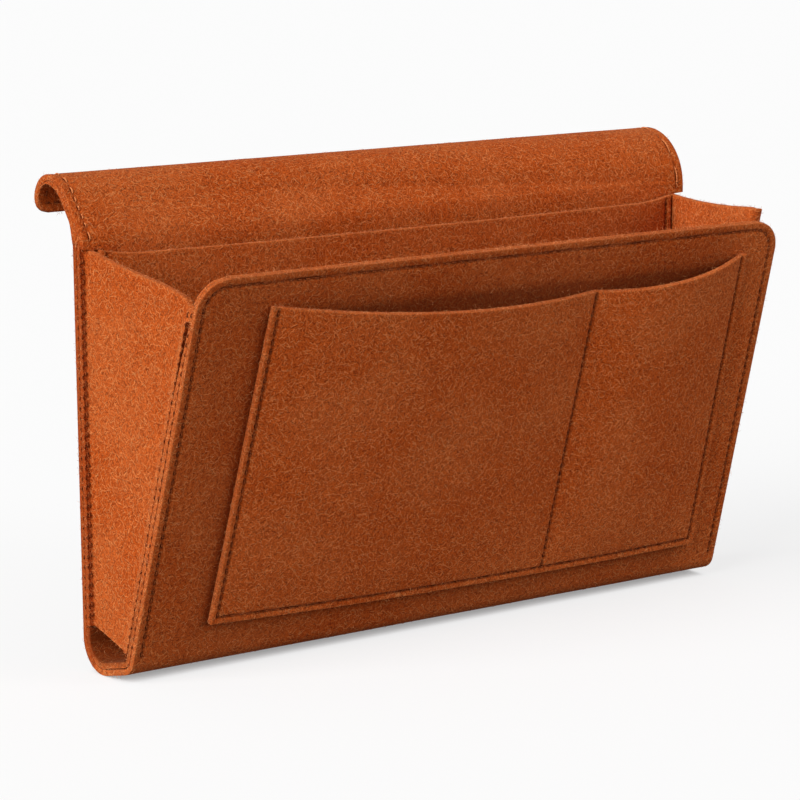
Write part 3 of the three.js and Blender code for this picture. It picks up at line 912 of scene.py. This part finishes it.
def make_inner_pocket():
    width, tall = 2 * float(back_inside_half(BACK_HEIGHT)), INNER_POCKET_HEIGHT
    step_top = BACK_HEIGHT - TONGUE_LENGTH - LAYER_PITCH

    def place(flat_points, w):
        across, rise = flat_points[..., 0] / width, flat_points[..., 1] / tall
        from_side = np.minimum(across, 1 - across) * width
        dip = rim_dip(INNER_POCKET_RIM_DIP, np.minimum(from_side / INNER_POCKET_DIP_REACH, 1), 2)
        rim = INNER_POCKET_BOTTOM + tall - dip
        height = lerp(INNER_POCKET_BOTTOM, rim, rise)
        half = back_inside_half(height)
        margin = SEWING_MARGIN / width
        inside = np.clip((across - margin) / (1 - 2 * margin), 0, 1)
        above, whole = height - INNER_POCKET_BOTTOM, rim - INNER_POCKET_BOTTOM
        free = np.clip((above - SEWING_MARGIN) / (whole - SEWING_MARGIN), 0, 1)
        over_tongue = smoothstep(height, step_top - INNER_POCKET_STEP_LENGTH, step_top)
        lift = LAYER_PITCH * (1 + over_tongue) + bulge(INNER_POCKET_BULGE, inside, free)
        y, z = LEFT_PATH.offset(back_distance(height), lift + w)
        return np.stack([lerp(-half, half, across), y, z], -1)

    across = np.concatenate([
        POCKET_SIDE_STEPS, np.linspace(POCKET_EVEN_FROM, width - POCKET_EVEN_FROM, 70),
        (width - POCKET_SIDE_STEPS)[::-1],
    ])
    rise = np.concatenate([POCKET_EDGE_ROWS, np.arange(5.8, tall - 2, 1.2), [tall - POCKET_RIM_ROUND, tall]])
    flat = np.stack(np.broadcast_arrays(across[None, :], rise[:, None]), -1)
    seams = [pocket_outline(width, tall, 1.0)]
    sheet = felt_sheet("inner_pocket_felt", flat, place, 13, 0.15, seams)
    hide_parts("inner_pocket")
    stitches("inner_pocket_threads", seams, place, 36)


# Materials


class Nodes:
    """Short calls for making the nodes of a material or a world."""

    def __init__(self, name, kind="materials", shader="Principled BSDF"):
        self.owner = getattr(bpy.data, kind).new(name)
        self.owner.use_nodes = True
        self.tree = self.owner.node_tree
        self.shader = self.tree.nodes[shader]

    def node(self, kind, inputs=(), **settings):
        made = self.tree.nodes.new(kind)
        for key, value in settings.items():
            setattr(made, key, value)
        for key, value in dict(inputs).items():
            self.feed(made.inputs[key], value)
        return made

    def feed(self, socket, value):
        if isinstance(value, bpy.types.NodeSocket):
            self.tree.links.new(value, socket)
        else:
            socket.default_value = value

    def math(self, operation, *values, clamp=False):
        made = self.node("ShaderNodeMath", enumerate(values), operation=operation, use_clamp=clamp)
        return made.outputs[0]

    def vector(self, operation, *values, scale=None):
        made = self.node("ShaderNodeVectorMath", enumerate(values), operation=operation)
        if scale is not None:
            self.feed(made.inputs["Scale"], scale)
        return made.outputs["Value"] if operation in ("DOT_PRODUCT", "LENGTH") else made.outputs["Vector"]

    def ramp(self, value, low, high, to_low=0.0, to_high=1.0):
        inputs = {"Value": value, "From Min": low, "From Max": high, "To Min": to_low, "To Max": to_high}
        return self.node("ShaderNodeMapRange", inputs, interpolation_type="SMOOTHSTEP").outputs["Result"]

    def mix(self, share, a, b):
        made = self.node("ShaderNodeMix", data_type="RGBA")
        for index, value in ((0, share), (6, a), (7, b)):
            self.feed(made.inputs[index], value)
        return made.outputs[2]

    def noise(self, vector, scale, detail=2.0, roughness=0.5):
        inputs = {"Vector": vector, "Scale": scale, "Detail": detail, "Roughness": roughness}
        made = self.node("ShaderNodeTexNoise", inputs)
        return made.outputs["Fac"], made.outputs["Color"]

    def attribute(self, name):
        return self.node("ShaderNodeAttribute", attribute_name=name).outputs["Fac"]

    def place(self):
        """The object coordinates in millimetres."""
        return self.vector("SCALE", self.node("ShaderNodeTexCoord").outputs["Object"], scale=1 / MM)

    def surface(self, colour, roughness, specular):
        inputs = self.shader.inputs
        for key, value in (("Base Color", colour), ("Roughness", roughness), ("Specular IOR Level", specular)):
            self.feed(inputs[key], value)

    def bump(self, height, strength, distance):
        made = self.node("ShaderNodeBump", {"Height": height, "Strength": strength, "Distance": distance * MM})
        self.feed(self.shader.inputs["Normal"], made.outputs[0])


LIGHT_FIBRES = (  # cell size, stroke length and width, in millimetres
    (3.5, 2.5, 0.2),
    (2.9, 2.1, 0.17),
    (2.4, 1.7, 0.15),
    (3.9, 2.8, 0.19),
)
DARK_FIBRES = ((2.9, 1.9, 0.26), (2.3, 1.5, 0.22))
STROKE_SHARE = 0.36
GAP_SHARE = 0.5
EDGE_PALENESS_AND_HIGHLIGHT = 0.08
BACK_EDGE_PAINTED_SHADE = 0.5
PAINTED_SOFT_SHADE_SHARE = 0.68
PAINTED_SEAM_SHADE_SHARE = 0.7


def in_surface(n, vector, normal):
    """The part of a vector that lies in the surface."""
    return n.vector("SUBTRACT", vector, n.vector("SCALE", normal, scale=n.vector("DOT_PRODUCT", vector, normal)))


def fibre_strokes(n, place, normal, layers, shift):
    """Short curled strokes lying in the surface, each with its own direction and brightness."""
    result = None
    curl = n.noise(place, 1 / 2.2, 1.0)[1]
    curl = n.vector("SCALE", n.vector("SUBTRACT", curl, (0.5, 0.5, 0.5)), scale=1.7)
    bent = n.vector("ADD", place, curl)
    for number, (cell, length, width) in enumerate(layers):
        spot = n.vector("ADD", bent, (13.7 * number + shift, 5.1 * number, 9.3 * number - shift))
        cells = n.node("ShaderNodeTexVoronoi", {"Vector": spot, "Scale": 1 / cell, "Randomness": 1.0})
        away = in_surface(n, n.vector("SUBTRACT", spot, cells.outputs["Position"]), normal)
        heading = n.vector("SUBTRACT", cells.outputs["Color"], (0.5, 0.5, 0.5))
        heading = n.vector("NORMALIZE", in_surface(n, heading, normal))
        along = n.vector("DOT_PRODUCT", away, heading)
        across = n.vector("LENGTH", n.vector("SUBTRACT", away, n.vector("SCALE", heading, scale=along)))
        thin = n.ramp(across, width * 0.55, width * 1.3, 1.0, 0.0)
        short = n.ramp(n.math("ABSOLUTE", along), length * 0.45, length * 0.75, 1.0, 0.0)
        bright = n.node("ShaderNodeSeparateColor", {0: cells.outputs["Color"]}).outputs[0]
        stroke = n.math("MULTIPLY", n.math("MULTIPLY", thin, short), n.ramp(bright, 0.2, 0.85, 0.15, 1.0))
        result = stroke if result is None else n.math("MAXIMUM", result, stroke)
    return result


def felt_material(name, deep, base, light):
    n = Nodes(name)
    place = n.place()
    normal = n.node("ShaderNodeNewGeometry").outputs["Normal"]
    strokes = fibre_strokes(n, place, normal, LIGHT_FIBRES, 0.0)
    gaps = fibre_strokes(n, place, normal, DARK_FIBRES, 41.0)
    grain = n.noise(place, 1 / 0.6, 2.0, 0.6)[0]
    mottle = n.noise(place, 1 / 7.0, 3.0, 0.55)[0]
    broad = n.noise(place, 1 / 45.0, 2.0, 0.5)[0]
    cut_edge = n.attribute("cut_edge")
    darkest = [part * 0.3 for part in deep[:3]] + [1]
    colour = n.mix(n.ramp(grain, 0.36, 0.6), deep, base)
    for share, tone in (
        (n.ramp(mottle, 0.35, 0.7, 0.0, 0.22), deep),
        (n.ramp(broad, 0.35, 0.65, 0.0, 0.06), light),
        (n.math("MULTIPLY", gaps, GAP_SHARE), darkest),
        (n.math("MULTIPLY", strokes, STROKE_SHARE), light),
        # Raw edges: paler raw fibres with a painted highlight, and painted shade on those at the back
        (n.math("MULTIPLY", cut_edge, EDGE_PALENESS_AND_HIGHLIGHT, clamp=True), light),
        (n.math("MULTIPLY", cut_edge, -BACK_EDGE_PAINTED_SHADE, clamp=True), deep),
        # Painted shade beside the pocket and low in the compartment, then painted shade in the seams' grooves and
        # stitch holes
        (n.math("MULTIPLY", n.attribute("painted_soft_shade"), PAINTED_SOFT_SHADE_SHARE), darkest),
        (n.math("MULTIPLY", n.attribute("painted_seam_shade"), PAINTED_SEAM_SHADE_SHARE), darkest),
    ):
        colour = n.mix(share, colour, tone)
    n.surface(colour, 0.95, 0.08)
    n.shader.inputs["Sheen Weight"].default_value = 0.05
    n.shader.inputs["Sheen Roughness"].default_value = 0.4
    n.shader.inputs["Sheen Tint"].default_value = (1.0, 0.6, 0.36, 1)
    height = n.math("ADD", n.math("MULTIPLY", strokes, 0.8), n.math("MULTIPLY", grain, 0.5))
    n.bump(n.math("SUBTRACT", height, n.math("MULTIPLY", gaps, 0.5)), 0.8, 0.22)
    return n.owner


def fibre_material(deep, light):
    n = Nodes("loose_fibre")
    n.surface(n.mix(n.ramp(n.attribute("tone"), 0.1, 0.9), deep, light), 0.8, 0.2)
    return n.owner


def thread_material(name, dark, pale):
    n = Nodes(name)
    twist = n.noise(n.place(), 1 / 0.5)[0]
    n.surface(n.mix(n.ramp(twist, 0.3, 0.7), dark, pale), 0.75, 0.12)
    n.bump(twist, 0.5, 0.1)
    return n.owner


# Camera, lights and floor

FOCAL_SHARE = 3298.88 / 800
CAMERA_YAW = math.radians(37.121)
CAMERA_PITCH = math.radians(10.26)
CAMERA_ROLL = math.radians(-0.149)
CAMERA_SHIFT = (8.824, -99.58)
CAMERA_DISTANCE = 1486.899  # this and the rest of the view are fitted to the photograph
SENSOR = 36.0
FLOOR_SIZE = 40  # metres, as CONTACT_REACH
FLOOR_TONE = 0.26  # for the light that it gives back to the caddy
SEEN_FLOOR_TONE = 0.93
CONTACT_REACH = 0.0045  # of the dark line where the caddy meets the floor
CONTACT_SHARES = 0.3, 0.75  # white's share in the seen floor, at the contact and in the open
WORLD_STRENGTH = 0.32
KEY_SUN = (-0.85, -0.15, 0.48), 3.55, 50  # direction, strength, spread in degrees
FILL_SUN = (0.6, -0.75, 0.28), 0.9, 30


def make_camera():
    forward = Vector((
        math.sin(CAMERA_YAW) * math.cos(CAMERA_PITCH),
        math.cos(CAMERA_YAW) * math.cos(CAMERA_PITCH),
        -math.sin(CAMERA_PITCH),
    ))
    level = Vector((math.cos(CAMERA_YAW), -math.sin(CAMERA_YAW), 0))
    upright = level.cross(forward)
    right = math.cos(CAMERA_ROLL) * level + math.sin(CAMERA_ROLL) * upright
    up = math.cos(CAMERA_ROLL) * upright - math.sin(CAMERA_ROLL) * level
    data = bpy.data.cameras.new("camera")
    data.sensor_width = SENSOR
    data.lens = SENSOR * FOCAL_SHARE
    data.clip_start, data.clip_end = 0.1, 50
    camera = new_object("camera", data)
    place = (-CAMERA_SHIFT[0] * right - CAMERA_SHIFT[1] * up - CAMERA_DISTANCE * forward) * MM
    turn = Matrix((right, up, -forward)).transposed()
    camera.matrix_world = Matrix.Translation(place) @ turn.to_4x4()
    bpy.context.scene.camera = camera


def soft_sun(name, towards, strength, spread):
    data = bpy.data.lights.new(name, "SUN")
    data.energy = strength
    data.angle = math.radians(spread)
    lamp = new_object(name, data)
    lamp.rotation_mode = "QUATERNION"
    lamp.rotation_quaternion = Vector(towards).to_track_quat("Z", "Y")


def make_stage():
    bpy.ops.mesh.primitive_plane_add(size=FLOOR_SIZE)
    floor = bpy.context.object
    floor.name = "floor"
    n = Nodes("floor")
    n.shader.inputs["Base Color"].default_value = (*[FLOOR_TONE] * 3, 1)
    n.shader.inputs["Roughness"].default_value = 0.9
    seen = n.node("ShaderNodeBsdfDiffuse", {"Color": (*[SEEN_FLOOR_TONE] * 3, 1)})
    white = n.node("ShaderNodeEmission", {"Color": (1, 1, 1, 1), "Strength": 1.0})
    open_sky = n.node("ShaderNodeAmbientOcclusion", {"Distance": CONTACT_REACH}, samples=8).outputs["AO"]
    share = n.ramp(open_sky, 0.1, 0.9, *CONTACT_SHARES)
    pale = n.node("ShaderNodeMixShader", {0: share, 1: seen.outputs[0], 2: white.outputs[0]})
    camera_ray = n.node("ShaderNodeLightPath").outputs["Is Camera Ray"]
    both = n.node("ShaderNodeMixShader", {0: camera_ray, 1: n.shader.outputs[0], 2: pale.outputs[0]})
    n.feed(n.tree.nodes["Material Output"].inputs["Surface"], both.outputs[0])
    floor.data.materials.append(n.owner)
    n = Nodes("world", "worlds", "Background")
    camera_ray = n.node("ShaderNodeLightPath").outputs["Is Camera Ray"]
    n.feed(n.shader.inputs["Strength"], n.ramp(camera_ray, 0, 1, WORLD_STRENGTH, 1.0))
    n.shader.inputs["Color"].default_value = (1, 1, 1, 1)
    bpy.context.scene.world = n.owner
    soft_sun("key", *KEY_SUN)
    soft_sun("fill", *FILL_SUN)
    bpy.context.scene.view_settings.view_transform = "Standard"


make_camera()
make_outer_shell()
make_front_lining()
make_hook()
make_gusset("left")
make_gusset("right")
make_front_pocket()
make_inner_pocket()
edge_threads()
FELT_LOOK = felt_material("felt", (0.27, 0.034, 0.003, 1), (0.54, 0.094, 0.0115, 1), (0.95, 0.37, 0.12, 1))
FIBRE_LOOK = fibre_material((0.4, 0.066, 0.01, 1), (0.95, 0.4, 0.16, 1))
# The body's threads are coloured near-black: painted shade for the stitch holes they lie sunk in
PAINTED_SHADE_THREAD = thread_material("body_thread_painted_shade", (0.05, 0.009, 0.002, 1), (0.42, 0.09, 0.02, 1))
PALE_THREAD = thread_material("hook_thread", (0.34, 0.065, 0.014, 1), (0.85, 0.3, 0.1, 1))
for piece in PIECES:
    look = FELT_LOOK
    if piece.name.endswith("fibres"):
        look = FIBRE_LOOK
    if piece.name.endswith("threads"):
        look = PALE_THREAD if piece.name.startswith("hook") else PAINTED_SHADE_THREAD
    piece.data.materials.append(look)
    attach(piece, "root")
make_stage()
